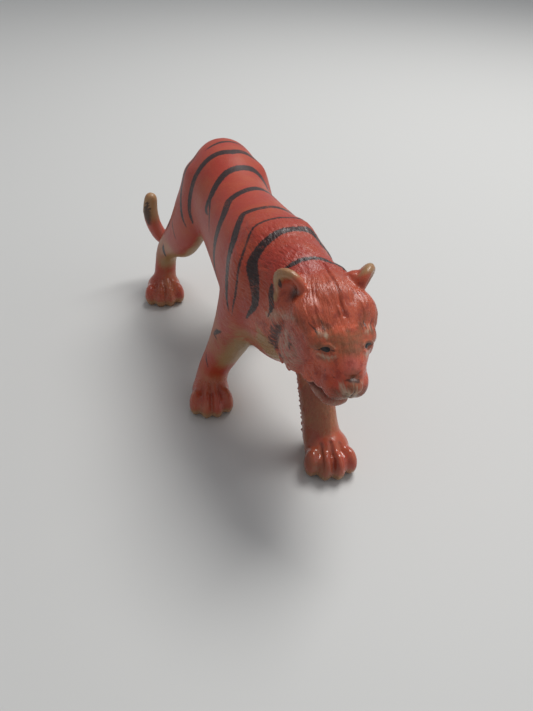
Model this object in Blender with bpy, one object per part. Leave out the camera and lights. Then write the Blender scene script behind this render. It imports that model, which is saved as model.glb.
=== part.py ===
"""Walking tiger figurine, moulded in one piece of soft plastic.

Metres, +Z up. The tiger walks towards -Y and stands on four flat soles at Z = 0. It is
sculpted with its spine over X = 0, then slid until its bounding box stands over the origin
and brought to its overall length, width and height.
The trunk, limbs and tail are lofts through named cross-sections. The head and the paws are
built up from lofts and rounded masses in frames of their own. All of it is fused like clay,
smoothed, carved with the sculpting tools below and cut flat under the paws.
"""

import math
from collections import namedtuple

import bmesh
import bpy
import numpy as np
from mathutils import Euler, Matrix, Vector

# A cross-section of a loft: its centre, its half size across, and its half size up or fore and aft
Section = namedtuple("Section", "x y z half_width half_depth")

# Overall sizes of the finished figurine
LENGTH = 0.1391
WIDTH = 0.0493
HEIGHT = 0.0666

# Mesh fineness
RING_POINTS = 28
STEPS_PER_SPAN = 5
BODY_VOXEL = 0.0009
SKIN_VOXEL = 0.00050
BODY_SMOOTHING = 16
SKIN_SMOOTHING = 4
TRIANGLE_TARGET = 11400

# Trunk and neck, from the rump to the nape
TRUNK = (
    Section(0.0024, 0.0535, 0.0558, 0.0058, 0.0060),
    Section(0.0022, 0.0470, 0.0556, 0.0110, 0.0112),
    Section(0.0008, 0.0360, 0.0518, 0.0132, 0.0155),
    Section(-0.0005, 0.0200, 0.0490, 0.0125, 0.0152),
    Section(-0.0005, 0.0040, 0.0480, 0.0135, 0.0162),
    Section(-0.0005, -0.0120, 0.0475, 0.0145, 0.0182),
    Section(0, -0.0250, 0.0475, 0.0138, 0.0188),
    Section(0.0012, -0.0360, 0.0510, 0.0115, 0.0145),
    Section(0.0028, -0.0440, 0.0530, 0.0098, 0.0100),
)

# Limbs, from inside the trunk down to the wrist or ankle
LEFT_FORELEG = (
    Section(0.0075, -0.0230, 0.0550, 0.0055, 0.0100),
    Section(0.0088, -0.0250, 0.0430, 0.0064, 0.0100),
    Section(0.0084, -0.0290, 0.0310, 0.0060, 0.0072),
    Section(0.0074, -0.0350, 0.0200, 0.0054, 0.0056),
    Section(0.0074, -0.0395, 0.0110, 0.0055, 0.0054),
    Section(0.0078, -0.0420, 0.0050, 0.0062, 0.0064),
)
RIGHT_FORELEG = (
    Section(-0.0085, -0.0200, 0.0550, 0.0055, 0.0100),
    Section(-0.0100, -0.0190, 0.0430, 0.0064, 0.0100),
    Section(-0.0118, -0.0155, 0.0310, 0.0062, 0.0074),
    Section(-0.0140, -0.0110, 0.0200, 0.0056, 0.0058),
    Section(-0.0165, -0.0080, 0.0110, 0.0052, 0.0052),
    Section(-0.0182, -0.0090, 0.0050, 0.0056, 0.0062),
)
LEFT_HINDLEG = (
    Section(0.0090, 0.0360, 0.0560, 0.0052, 0.0110),
    Section(0.0098, 0.0300, 0.0440, 0.0062, 0.0125),
    Section(0.0108, 0.0260, 0.0340, 0.0058, 0.0092),
    Section(0.0116, 0.0300, 0.0240, 0.0046, 0.0062),
    Section(0.0120, 0.0320, 0.0160, 0.0042, 0.0048),
    Section(0.0122, 0.0270, 0.0085, 0.0046, 0.0048),
    Section(0.0122, 0.0240, 0.0045, 0.0052, 0.0060),
)
RIGHT_HINDLEG = (
    Section(-0.0080, 0.0400, 0.0560, 0.0048, 0.0110),
    Section(-0.0105, 0.0390, 0.0450, 0.0056, 0.0125),
    Section(-0.0135, 0.0430, 0.0345, 0.0052, 0.0098),
    Section(-0.0160, 0.0530, 0.0255, 0.0046, 0.0064),
    Section(-0.0180, 0.0600, 0.0180, 0.0044, 0.0048),
    Section(-0.0195, 0.0590, 0.0095, 0.0046, 0.0048),
    Section(-0.0205, 0.0575, 0.0045, 0.0052, 0.0060),
)

# Tail, down from the rump and hooked up on the right
TAIL = (
    Section(0.0015, 0.0480, 0.0580, 0.0054, 0.0054),
    Section(0.0010, 0.0565, 0.0520, 0.0040, 0.0040),
    Section(-0.0010, 0.0630, 0.0410, 0.0034, 0.0034),
    Section(-0.0050, 0.0680, 0.0290, 0.0031, 0.0031),
    Section(-0.0110, 0.0705, 0.0200, 0.0030, 0.0030),
    Section(-0.0170, 0.0705, 0.0190, 0.0030, 0.0030),
    Section(-0.0205, 0.0695, 0.0250, 0.0030, 0.0030),
    Section(-0.0218, 0.0685, 0.0320, 0.0030, 0.0030),
    Section(-0.0212, 0.0680, 0.0375, 0.0026, 0.0026),
)

# Paws: where each sole is centred, how far each is turned, and the half width of each
PAWS = (
    (Vector((0.0078, -0.0465, 0)), math.radians(-12), 0.0073),
    (Vector((-0.0188, -0.0120, 0)), math.radians(-12), 0.0066),
    (Vector((0.0124, 0.0205, 0)), math.radians(-2), 0.0068),
    (Vector((-0.0212, 0.0550, 0)), math.radians(-8), 0.0074),
)
PAW_HALF_LENGTH = 0.0080
SOLE_SINK = 0.0006

# Toes: places across the paw in toe widths, that width as a share of the paw's half width,
# and how far forward the outer toes reach, and the inner ones beyond them
TOES = (-1.5, -0.5, 0.5, 1.5)
TOE_SPACING = 0.49
TOE_REACH = 0.44
INNER_TOE_LEAD = 0.22

# Head frame: the middle of the skull, and how the head hangs, tilts and turns
HEAD_CENTRE = Vector((0.0031, -0.0470, 0.0530))
HEAD_PITCH = math.radians(28)
HEAD_ROLL = math.radians(3)
HEAD_YAW = math.radians(-4.5)

# Skull and muzzle, from the nape forward to the nose, in the head's frame
SKULL = (
    Section(0, 0.0110, -0.0014, 0.0080, 0.0055),
    Section(0, 0.0060, -0.0010, 0.0102, 0.0073),
    Section(0, 0.0000, -0.0012, 0.0110, 0.0088),
    Section(0, -0.0045, -0.0006, 0.0100, 0.0083),
    Section(0, -0.0088, 0.0004, 0.0075, 0.0068),
    Section(0, -0.0130, 0.0004, 0.0052, 0.0053),
    Section(0, -0.0158, -0.0002, 0.0041, 0.0041),
)
JAW = (
    Section(0, 0.0000, -0.0100, 0.0072, 0.0036),
    Section(0, -0.0070, -0.0112, 0.0062, 0.0029),
    Section(0, -0.0125, -0.0108, 0.0051, 0.0024),
    Section(0, -0.0166, -0.0094, 0.0036, 0.0020),
)

# Ruff tufts: how far back, how high and how far out each lies in the head's frame
RUFF_TUFTS = (
    (0.0054, -0.0104, 0.0109),
    (0.0028, -0.0118, 0.0108),
    (0.0002, -0.0126, 0.0104),
    (-0.0024, -0.0126, 0.0098),
    (-0.0050, -0.0120, 0.0090),
    (-0.0072, -0.0110, 0.0082),
)


def catmull_rom(before, start, end, after, t):
    """A point on the smooth curve from start to end."""
    return 0.5 * (
        2 * start
        + (end - before) * t
        + (2 * before - 5 * start + 4 * end - after) * t**2
        + (3 * start - before - 3 * end + after) * t**3
    )


def smooth_rows(sections):
    """The sections with more of them between, on a curve through all."""
    rows = np.array(sections, float)
    padded = np.vstack([2 * rows[0] - rows[1], rows, 2 * rows[-1] - rows[-2]])
    made = [
        catmull_rom(*padded[i : i + 4], step / STEPS_PER_SPAN)
        for i in range(len(rows) - 1)
        for step in range(STEPS_PER_SPAN)
    ]
    return np.array([*made, rows[-1]])


def ring(bm, frame, centre, tangent, half_width, half_depth):
    """A loop of points square to the tangent, its width along X as far as the tangent lets it."""
    forward = Vector(tangent).normalized()
    across = (Vector((1, 0, 0)) - forward * forward.x).normalized()
    up = forward.cross(across)
    points = []
    for i in range(RING_POINTS):
        turn = 2 * math.pi * i / RING_POINTS
        offset = across * (half_width * math.cos(turn)) + up * (half_depth * math.sin(turn))
        points.append(bm.verts.new(frame @ (Vector(centre) + offset)))
    return points


def loft(bm, sections, frame=Matrix()):
    """A closed solid through the sections, round at both ends."""
    rows = smooth_rows(sections)
    tangents = np.gradient(rows[:, :3], axis=0)
    tangents /= np.linalg.norm(tangents, axis=1)[:, None]
    chain = []
    tips = []
    for end, sign in ((0, -1), (-1, 1)):
        reach = min(rows[end, 3:])
        caps = []
        for degrees in (70, 45, 20):
            turn = math.radians(degrees)
            centre = rows[end, :3] + tangents[end] * sign * reach * math.sin(turn)
            caps.append(ring(bm, frame, centre, tangents[end], *rows[end, 3:] * math.cos(turn)))
        tips.append(bm.verts.new(frame @ Vector(rows[end, :3] + tangents[end] * sign * reach)))
        chain.append(caps)
    middle = [ring(bm, frame, row[:3], t, row[3], row[4]) for row, t in zip(rows, tangents)]
    loops = chain[0] + middle + chain[1][::-1]
    for a, b in zip(loops, loops[1:]):
        for i in range(RING_POINTS):
            j = (i + 1) % RING_POINTS
            bm.faces.new((a[i], a[j], b[j], b[i]))
    for i in range(RING_POINTS):
        j = (i + 1) % RING_POINTS
        bm.faces.new((tips[0], loops[0][j], loops[0][i]))
        bm.faces.new((tips[1], loops[-1][i], loops[-1][j]))


def mass(bm, centre, radii, turn=(0, 0, 0), frame=Matrix()):
    """A rounded lump of clay."""
    place = (
        frame
        @ Matrix.Translation(Vector(centre))
        @ Euler([math.radians(a) for a in turn]).to_matrix().to_4x4()
        @ Matrix.Diagonal((*radii, 1))
    )
    bmesh.ops.create_icosphere(bm, subdivisions=4, radius=1, matrix=place)


def fused(bm, voxel, smoothing):
    """One closed skin round everything in bm, with its creases softened."""
    bmesh.ops.recalc_face_normals(bm, faces=bm.faces)
    mesh = bpy.data.meshes.new("clay")
    bm.to_mesh(mesh)
    clay = bpy.data.objects.new("clay", mesh)
    bpy.context.scene.collection.objects.link(clay)
    remesh = clay.modifiers.new("skin", "REMESH")
    remesh.mode = "VOXEL"
    remesh.voxel_size = voxel
    smooth = clay.modifiers.new("soften", "SMOOTH")
    smooth.factor = 0.5
    smooth.iterations = smoothing
    graph = bpy.context.evaluated_depsgraph_get()
    made = bpy.data.meshes.new_from_object(clay.evaluated_get(graph))
    bpy.data.objects.remove(clay)
    return made


class Sculptor:
    """Tools that move the points of a mesh, all placed in one frame."""

    def __init__(self, mesh, frame):
        self.mesh = mesh
        count = len(mesh.vertices)
        flat = np.empty(count * 3)
        mesh.vertices.foreach_get("co", flat)
        self.world = np.array(frame)
        back = np.linalg.inv(self.world)
        self.points = flat.reshape(-1, 3) @ back[:3, :3].T + back[:3, 3]
        normals = np.empty(count * 3)
        mesh.vertex_normals.foreach_get("vector", normals)
        self.normals = normals.reshape(-1, 3) @ back[:3, :3].T

    def push(self, centre, radii, move, facing=False):
        """Move what is inside an ellipsoid, most at its middle."""
        reach = (((self.points - centre) / radii) ** 2).sum(axis=1)
        weight = np.clip(1 - reach, 0, 1) ** 2
        if facing:
            toward = -np.array(move) / np.linalg.norm(move)
            weight = weight * np.clip(self.normals @ toward * 2, 0, 1)
        self.points += weight[:, None] * np.array(move)

    def groove(self, path, width, depth, seen_from):
        """Press a soft line into the skin facing one way, along a path seen from there."""
        view = np.array(seen_from) / np.linalg.norm(seen_from)
        flat = self.points - np.outer(self.points @ view, view)
        path = np.array(path, float)
        path = path - np.outer(path @ view, view)
        nearest = np.full(len(flat), 1.0)
        for a, b in zip(path, path[1:]):
            along = np.clip(((flat - a) @ (b - a)) / ((b - a) @ (b - a)), 0, 1)
            gap = np.linalg.norm(flat - a - along[:, None] * (b - a), axis=1)
            nearest = np.minimum(nearest, gap)
        weight = np.exp(-((nearest / width) ** 2)) * np.clip(self.normals @ view * 2, 0, 1)
        self.points -= self.normals * (depth * weight)[:, None]

    def finish(self):
        made = self.points @ self.world[:3, :3].T + self.world[:3, 3]
        self.mesh.vertices.foreach_set("co", made.astype(np.float32).ravel())
        self.mesh.update()


def paw_frame(sole, heading):
    return Matrix.Translation(sole) @ Matrix.Rotation(heading, 4, "Z")


def paw(bm, sole, heading, half_width):
    """The foot: a rounded block and four toes, sunk a little so that the sole can be cut flat."""
    frame = paw_frame(sole, heading)
    low = -SOLE_SINK
    pad = (half_width * 0.93, PAW_HALF_LENGTH * 0.88, 0.0060)
    mass(bm, (0, 0.0014, 0.0046 + low), pad, frame=frame)
    for across in TOES:
        inner = max(TOES) - abs(across)
        x = across * half_width * TOE_SPACING
        y = -PAW_HALF_LENGTH * (TOE_REACH + INNER_TOE_LEAD * inner)
        toe = (half_width * 0.33, 0.0040, 0.0046 + 0.0004 * inner)
        mass(bm, (x, y, 0.0042 + low), toe, (0, 0, across * 8), frame)


def head_frame():
    turn = (
        Matrix.Rotation(HEAD_YAW, 4, "Z")
        @ Matrix.Rotation(HEAD_ROLL, 4, "Y")
        @ Matrix.Rotation(HEAD_PITCH, 4, "X")
    )
    return Matrix.Translation(HEAD_CENTRE) @ turn


def head(bm):
    frame = head_frame()
    loft(bm, SKULL, frame)
    loft(bm, JAW, frame)

    def pair(centre, radii, turn=(0, 0, 0)):
        for side in (-1, 1):
            x, y, z = centre
            rx, ry, rz = turn
            mass(bm, (side * x, y, z), radii, (rx, side * ry, side * rz), frame)

    # Muzzle pads, nose, lips, jowls, palate
    pair((0.0023, -0.0150, -0.0011), (0.0034, 0.0046, 0.0035))
    mass(bm, (0.0003, -0.0176, 0.0020), (0.0025, 0.0023, 0.0019), frame=frame)
    pair((0.0042, -0.0108, -0.0036), (0.0025, 0.0052, 0.0034), (-18, 0, 6))
    pair((0.0054, -0.0088, -0.0066), (0.0022, 0.0042, 0.0038), (-30, 0, 10))
    mass(bm, (0, -0.0060, -0.0062), (0.0036, 0.0070, 0.0032), frame=frame)
    # Temples, brows, eyeballs, cheekbones
    pair((0.0050, 0.0002, 0.0022), (0.0057, 0.0068, 0.0049))
    pair((0.0048, -0.0052, 0.0035), (0.0042, 0.0043, 0.0027), (-15, 20, 0))
    pair((0.0049, -0.0083, 0.0025), (0.0022, 0.0021, 0.0020))
    pair((0.0060, -0.0050, -0.0014), (0.0034, 0.0048, 0.0044), (0, 0, 12))
    # Ruff and ears
    pair((0.0082, -0.0010, -0.0070), (0.0032, 0.0082, 0.0060), (4, -6, 0))
    pair((0.0098, 0.0034, -0.0066), (0.0028, 0.0032, 0.0066), (0, -8, -20))
    pair((0.0093, 0.0082, 0.0030), (0.0049, 0.0021, 0.0048), (-3, 32, 50))
    pair((0.0076, 0.0084, 0.0024), (0.0036, 0.0028, 0.0032))
    # Tufts along the lower edge of the ruff
    for back, low, out in RUFF_TUFTS:
        pair((out, back, low), (0.0012, 0.0028, 0.0011), (14, 0, 6))


def tiger_mesh():
    body = bmesh.new()
    for sections in (TRUNK, LEFT_FORELEG, RIGHT_FORELEG, LEFT_HINDLEG, RIGHT_HINDLEG):
        loft(body, sections)
    # Shoulder blades, upper arms and haunches
    mass(body, (0.0060, -0.0195, 0.0562), (0.0052, 0.0100, 0.0095), (20, -8, 0))
    mass(body, (-0.0060, -0.0175, 0.0560), (0.0052, 0.0100, 0.0095), (20, 8, 0))
    smooth_body = fused(body, BODY_VOXEL, BODY_SMOOTHING)

    whole = bmesh.new()
    whole.from_mesh(smooth_body)
    loft(whole, TAIL)
    for sole, heading, half_width in PAWS:
        paw(whole, sole, heading, half_width)
    head(whole)
    return fused(whole, SKIN_VOXEL, SKIN_SMOOTHING)


def carve_head(mesh):
    """Ear cups, eye sockets, nostrils, and the lines down the crown and the upper lip."""
    tool = Sculptor(mesh, head_frame())
    for side in (-1, 1):
        cup = (side * 0.0106, 0.0068, 0.0036)
        tool.push(cup, (0.0038, 0.0038, 0.0042), (-side * 0.0015, 0.0015, -0.0003), True)
        eye = (side * 0.0050, -0.0094, 0.0033)
        tool.push(eye, (0.0027, 0.0026, 0.0019), (-side * 0.0003, 0.0007, -0.0003))
        tool.push(eye, (0.0015, 0.0018, 0.0011), (side * 0.0003, -0.0009, 0.0005), True)
        tool.push((side * 0.0013, -0.0199, 0.0014), (0.0008, 0.0012, 0.0007), (0, 0.0009, 0))
    tool.groove(((0, 0.012, 0), (0, -0.003, 0)), 0.0004, 0.00025, (0, 0, 1))
    tool.groove(((0, 0, -0.006), (0, 0, -0.0004)), 0.0004, 0.0005, (0, -1, 0))
    tool.finish()


def carve_paws(mesh):
    for sole, heading, half_width in PAWS:
        tool = Sculptor(mesh, paw_frame(sole, heading))
        near = np.linalg.norm(tool.points, axis=1) < 2 * PAW_HALF_LENGTH
        tool.normals[~near] = 0
        for across in (-1, 0, 1):
            x = across * half_width * TOE_SPACING
            path = ((x * 0.8, -0.2 * PAW_HALF_LENGTH, 0), (x, -1.4 * PAW_HALF_LENGTH, 0))
            tool.groove(path, 0.0005, 0.0006, (0, 0, 1))
        tool.finish()


def stand_flat(bm):
    """Cut everything below the floor away and close the soles."""
    for vert in bm.verts:
        if vert.co.z < SOLE_SINK:
            vert.co.z -= SOLE_SINK * 1.5
    geometry = bm.verts[:] + bm.edges[:] + bm.faces[:]
    bmesh.ops.bisect_plane(
        bm, geom=geometry, dist=1e-7, plane_co=(0, 0, 0), plane_no=(0, 0, -1), clear_outer=True
    )
    rim = [edge for edge in bm.edges if edge.is_boundary]
    bmesh.ops.holes_fill(bm, edges=rim, sides=0)
    bmesh.ops.triangulate(bm, faces=bm.faces)
    bmesh.ops.recalc_face_normals(bm, faces=bm.faces)


def centre_over_origin(bm):
    """Slide the figurine so that its bounding box stands over the origin, at its full size."""
    places = np.array([vert.co for vert in bm.verts])
    low, high = places.min(axis=0), places.max(axis=0)
    bmesh.ops.translate(bm, verts=bm.verts, vec=(-(low + high) / 2 * (1, 1, 0)))
    bmesh.ops.scale(bm, verts=bm.verts, vec=np.array((WIDTH, LENGTH, HEIGHT)) / (high - low))


def lightened(mesh):
    """The same skin in fewer triangles, closest where it curves most."""
    full = bpy.data.objects.new("full", mesh)
    bpy.context.scene.collection.objects.link(full)
    thin = full.modifiers.new("lighten", "DECIMATE")
    mesh.calc_loop_triangles()
    thin.ratio = TRIANGLE_TARGET / len(mesh.loop_triangles)
    graph = bpy.context.evaluated_depsgraph_get()
    made = bpy.data.meshes.new_from_object(full.evaluated_get(graph))
    bpy.data.objects.remove(full)
    return made


def vinyl():
    material = bpy.data.materials.new("painted_vinyl")
    material.use_nodes = True
    shader = material.node_tree.nodes["Principled BSDF"]
    shader.inputs["Base Color"].default_value = (0.62, 0.12, 0.05, 1)
    shader.inputs["Roughness"].default_value = 0.42
    return material


def main():
    for obj in list(bpy.data.objects):
        bpy.data.objects.remove(obj)
    skin = tiger_mesh()
    carve_head(skin)
    carve_paws(skin)
    bm = bmesh.new()
    bm.from_mesh(lightened(skin))
    stand_flat(bm)
    centre_over_origin(bm)
    mesh = bpy.data.meshes.new("tiger_figurine")
    bm.to_mesh(mesh)
    bm.free()
    mesh.materials.append(vinyl())
    tiger = bpy.data.objects.new("tiger_figurine", mesh)
    bpy.context.scene.collection.objects.link(tiger)


main()
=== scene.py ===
"""The looks of the walking tiger figurine, moulded in one piece of soft plastic and hand painted.

Lengths are in millimetres and the tiger stands with its spine over X = 0 while it is modelled.
The finished skin is scaled to metres and slid to stand over the origin, as the solid does.
"""

import math

import bmesh
import bpy
import numpy as np
from mathutils import Euler, Matrix, Vector, noise


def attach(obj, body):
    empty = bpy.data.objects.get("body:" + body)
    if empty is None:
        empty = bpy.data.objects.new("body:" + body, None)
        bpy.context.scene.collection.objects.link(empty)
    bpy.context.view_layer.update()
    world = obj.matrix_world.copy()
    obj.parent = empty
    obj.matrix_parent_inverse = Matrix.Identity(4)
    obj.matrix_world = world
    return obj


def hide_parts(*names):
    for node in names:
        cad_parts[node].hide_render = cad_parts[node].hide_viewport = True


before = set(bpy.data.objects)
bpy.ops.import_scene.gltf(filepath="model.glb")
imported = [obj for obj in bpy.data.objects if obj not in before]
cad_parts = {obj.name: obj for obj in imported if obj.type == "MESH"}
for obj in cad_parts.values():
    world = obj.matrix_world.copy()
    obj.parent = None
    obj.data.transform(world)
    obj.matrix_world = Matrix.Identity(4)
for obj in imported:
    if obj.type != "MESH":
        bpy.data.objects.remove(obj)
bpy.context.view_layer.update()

MM = 0.001
SLIDE = np.array((5.093, -3.98, 0.0))

# Fineness and smoothing of the clay, and how much larger the head is, and how far out from its
# middle, while the skin is drawn over it
RING_POINTS = 32
STEPS_PER_SPAN = 5
BODY_VOXEL = 0.9
SKIN_VOXEL = 0.56
TRIANGLES = 166000
BODY_SMOOTHING = 16
SKIN_SMOOTHING = 12
HEAD_GAIN = 2.1
HEAD_REACH = 20.0

# Sections of the lofts: centre, half width and half depth
TRUNK = (
    (2.4, 53.5, 55.8, 5.8, 6.0),
    (2.2, 47.0, 55.6, 11.0, 11.2),
    (0.8, 36.0, 51.8, 13.2, 15.5),
    (-0.5, 20.0, 49.0, 12.5, 15.2),
    (-0.5, 4.0, 48.0, 13.5, 16.2),
    (-0.5, -12.0, 47.5, 14.5, 18.2),
    (0, -25.0, 46.9, 13.8, 19.4),
    (1.2, -36.0, 50.3, 11.5, 15.4),
    (2.8, -44.0, 53.0, 9.8, 10.0),
)
LEFT_FORELEG = (
    (7.5, -23.0, 55.0, 5.5, 10.0),
    (8.8, -25.0, 43.0, 6.4, 10.0),
    (8.4, -29.0, 31.0, 6.0, 7.2),
    (7.4, -35.0, 20.0, 5.4, 5.6),
    (7.4, -39.5, 11.0, 5.5, 5.4),
    (7.8, -42.0, 5.0, 6.2, 6.4),
)
RIGHT_FORELEG = (
    (-8.5, -20.0, 55.0, 5.5, 10.0),
    (-10.0, -19.0, 43.0, 6.4, 10.0),
    (-11.8, -15.5, 31.0, 6.2, 7.4),
    (-14.0, -11.0, 20.0, 5.6, 5.8),
    (-16.5, -8.0, 11.0, 5.2, 5.2),
    (-18.2, -9.0, 5.0, 5.6, 6.2),
)
LEFT_HINDLEG = (
    (9.0, 36.0, 56.0, 5.2, 11.0),
    (9.8, 30.0, 44.0, 6.2, 12.5),
    (10.8, 26.0, 34.0, 5.8, 9.2),
    (11.6, 30.0, 24.0, 4.6, 6.2),
    (12.0, 32.0, 16.0, 4.2, 4.8),
    (12.2, 27.0, 8.5, 4.6, 4.8),
    (12.2, 24.0, 4.5, 5.2, 6.0),
)
RIGHT_HINDLEG = (
    (-8.0, 40.0, 56.0, 4.8, 11.0),
    (-10.5, 39.0, 45.0, 5.6, 12.5),
    (-13.5, 43.0, 34.5, 5.2, 9.8),
    (-16.0, 53.0, 25.5, 4.6, 6.4),
    (-18.0, 60.0, 18.0, 4.4, 4.8),
    (-19.5, 59.0, 9.5, 4.6, 4.8),
    (-20.5, 57.5, 4.5, 5.2, 6.0),
)
TAIL = (
    (1.5, 48.0, 58.0, 5.4, 5.4),
    (1.0, 56.5, 52.0, 4.0, 4.0),
    (-1.0, 63.0, 41.0, 3.4, 3.4),
    (-5.0, 68.0, 29.0, 3.1, 3.1),
    (-11.0, 70.5, 20.0, 3.0, 3.0),
    (-17.0, 70.5, 19.0, 3.0, 3.0),
    (-20.5, 69.5, 25.0, 3.0, 3.0),
    (-21.8, 68.5, 32.0, 3.0, 3.0),
    (-21.2, 68.0, 37.5, 2.6, 2.6),
)

# Paws: sole centre, heading in degrees and half width
PAWS = (
    ((7.8, -46.5, 0), -12, 7.3),
    ((-18.8, -12.0, 0), -12, 6.6),
    ((12.4, 20.5, 0), -2, 6.8),
    ((-21.2, 55.0, 0), -8, 7.4),
)
PAW_HALF_LENGTH = 8.0
TOE_SPACING = 0.49  # share of the paw's half width
SOLE_SINK = 0.6

# How the head hangs, tilts and turns
HEAD_CENTRE = (3.1, -47.0, 53.0)
HEAD_PITCH = 28
HEAD_ROLL = 3
HEAD_YAW = -4.5
SKULL = (
    (0, 11.0, -1.4, 8.0, 5.5),
    (0, 6.0, -1.0, 10.2, 7.3),
    (0, 0.0, -1.2, 11.0, 8.8),
    (0, -4.5, -0.6, 10.0, 8.3),
    (0, -8.8, 0.4, 7.5, 6.8),
    (0, -13.0, 0.4, 5.2, 5.3),
    (0, -15.8, -0.2, 4.1, 4.1),
)
JAW = (
    (0, 0.0, -10.0, 7.2, 3.6),
    (0, -7.0, -11.2, 6.2, 2.9),
    (0, -12.5, -10.8, 5.1, 2.4),
    (0, -16.6, -9.4, 3.6, 2.0),
)
RUFF_TUFTS = (
    (5.4, -10.4, 10.9),
    (2.8, -11.8, 10.8),
    (0.2, -12.6, 10.4),
    (-2.4, -12.6, 9.8),
    (-5.0, -11.0, 8.9),
    (-6.8, -8.8, 7.6),
)

# Stripes round the trunk: degrees from the spine towards the tiger's left, place along the
# body, and half width
RIGHT_STRIPES = (
    ((-30, 40.0, 0.28), (-20, 40.3, 0.7), (-3, 41.3, 0.84), (17, 41.6, 0.7), (34, 40.5, 0.28)),
    (
        (-48, 44.5, 0.52), (-66, 42.5, 1.04), (-90, 41.3, 1.17),
        (-105, 37.0, 0.91), (-120, 31.4, 0.26),
    ),
    ((-113, 28.5, 0.45), (-94, 31.0, 1.2), (-62, 32.0, 1.5), (-20, 32.3, 1.5), (4, 31.4, 1.5)),
    ((-60, 11.6, 0.29), (-58, 14.8, 1.16), (-45, 15.8, 1.59), (-32, 17.6, 1.59), (-12, 20.8, 1.45)),
    ((-72, 5.0, 0.13), (-58, 10.0, 0.52), (-46, 15.0, 0.65)),
    ((-112, -8.0, 0.28), (-92, -5.0, 1.26), (-66, -2.6, 1.68), (-42, 0.2, 1.68), (-26, 5.0, 1.54)),
    (
        (-104, -23.5, 0.14), (-84, -20.3, 0.98), (-62, -17.4, 1.54),
        (-42, -14.0, 1.54), (-22, -7.6, 1.12),
    ),
    (
        (-106, -24.6, 0.12), (-78, -25.0, 0.48), (-50, -23.4, 0.48),
        (-22, -18.0, 0.42), (0, -17.0, 0.42),
    ),
    (
        (-104, -30.2, 0.36), (-82, -33.0, 1.32), (-58, -30.4, 1.68),
        (-40, -26.2, 1.56), (-18, -24.6, 1.2),
    ),
    (
        (-100, -38.6, 0.38), (-78, -39.0, 0.75), (-57, -36.8, 0.88),
        (-34, -36.4, 0.88), (-10, -35.8, 0.62),
    ),
)
LEFT_STRIPES = (
    ((118, 30.0, 0.26), (100, 36.5, 1.04), (78, 40.6, 1.17), (50, 43.5, 0.65)),
    ((4, 31.4, 1.5), (24, 33.2, 1.5), (58, 34.0, 1.5), (90, 31.0, 1.35), (108, 26.5, 0.45)),
    (
        (-12, 20.8, 1.45), (12, 22.6, 1.45), (34, 23.6, 1.59),
        (62, 21.0, 1.59), (88, 17.0, 1.01), (98, 14.0, 0.29),
    ),
    ((64, 20.0, 0.39), (76, 15.0, 0.65), (84, 10.0, 0.13)),
    (
        (-26, 5.0, 1.54), (-4, 6.4, 1.4), (20, 8.2, 1.54),
        (50, 5.0, 1.68), (82, -1.0, 1.26), (104, -6.0, 0.28),
    ),
    (
        (-22, -7.6, 1.12), (-6, -8.7, 0.98), (16, -9.2, 1.12),
        (44, -13.0, 1.54), (76, -18.6, 1.26), (98, -22.5, 0.28),
    ),
    ((0, -17.0, 0.42), (26, -17.6, 0.48), (56, -22.6, 0.48), (90, -26.4, 0.24)),
    (
        (-18, -24.6, 1.2), (6, -23.4, 0.96), (24, -23.4, 1.32),
        (48, -27.8, 1.56), (76, -32.0, 1.44), (100, -31.0, 0.36),
    ),
    (
        (-10, -35.8, 0.62), (12, -35.9, 0.56), (32, -36.4, 0.75),
        (62, -38.4, 0.88), (92, -39.2, 0.38),
    ),
)
MM_PER_DEGREE = 0.262

# Dark marks on the legs and tail: centre and half width
LEG_MARKS = (
    ((-17.0, -19.8, 34.2, 0.3), (-17.7, -17.4, 32.6, 0.8), (-17.9, -15.4, 30.6, 0.6)),
    ((-17.7, -15.4, 30.6, 0.5), (-17.8, -18.2, 29.6, 0.3)),
    ((-19.5, -10.0, 21.0, 0.1), (-19.7, -11.4, 17.8, 0.4), (-19.4, -12.4, 15.0, 0.1)),
    ((-20.6, 52.0, 25.4, 0.5), (-20.2, 53.0, 22.4, 1.1), (-19.6, 53.8, 19.4, 0.3)),
    ((-17.8, 43.4, 39.4, 0.2), (-17.8, 40.4, 36.6, 0.45), (-17.6, 38.0, 33.8, 0.1)),
    ((-17.4, 48.4, 39.4, 0.5), (-18.4, 47.6, 36.2, 1.0), (-18.8, 48.6, 33.6, 0.2)),
    ((14.6, -31.0, 30.0, 0.2), (14.4, -28.4, 27.6, 0.7), (13.6, -29.4, 25.0, 0.2)),
    ((13.0, -35.4, 19.0, 0.1), (13.0, -36.6, 16.4, 0.4), (13.0, -38.4, 14.4, 0.1)),
    ((16.6, 33.4, 38.4, 0.2), (17.2, 29.6, 35.6, 0.6), (16.8, 25.4, 33.8, 0.1)),
    ((16.2, 33.6, 25.6, 0.3), (16.2, 32.6, 21.6, 0.9), (16.0, 33.4, 18.4, 0.2)),
)

# The worn dark tip of the tail
TAIL_DARK = (((-23.4, 66.0, 36.4, 0.8), (-24.2, 66.0, 32.4, 2.2), (-23.6, 66.4, 28.0, 1.4)),)

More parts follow.
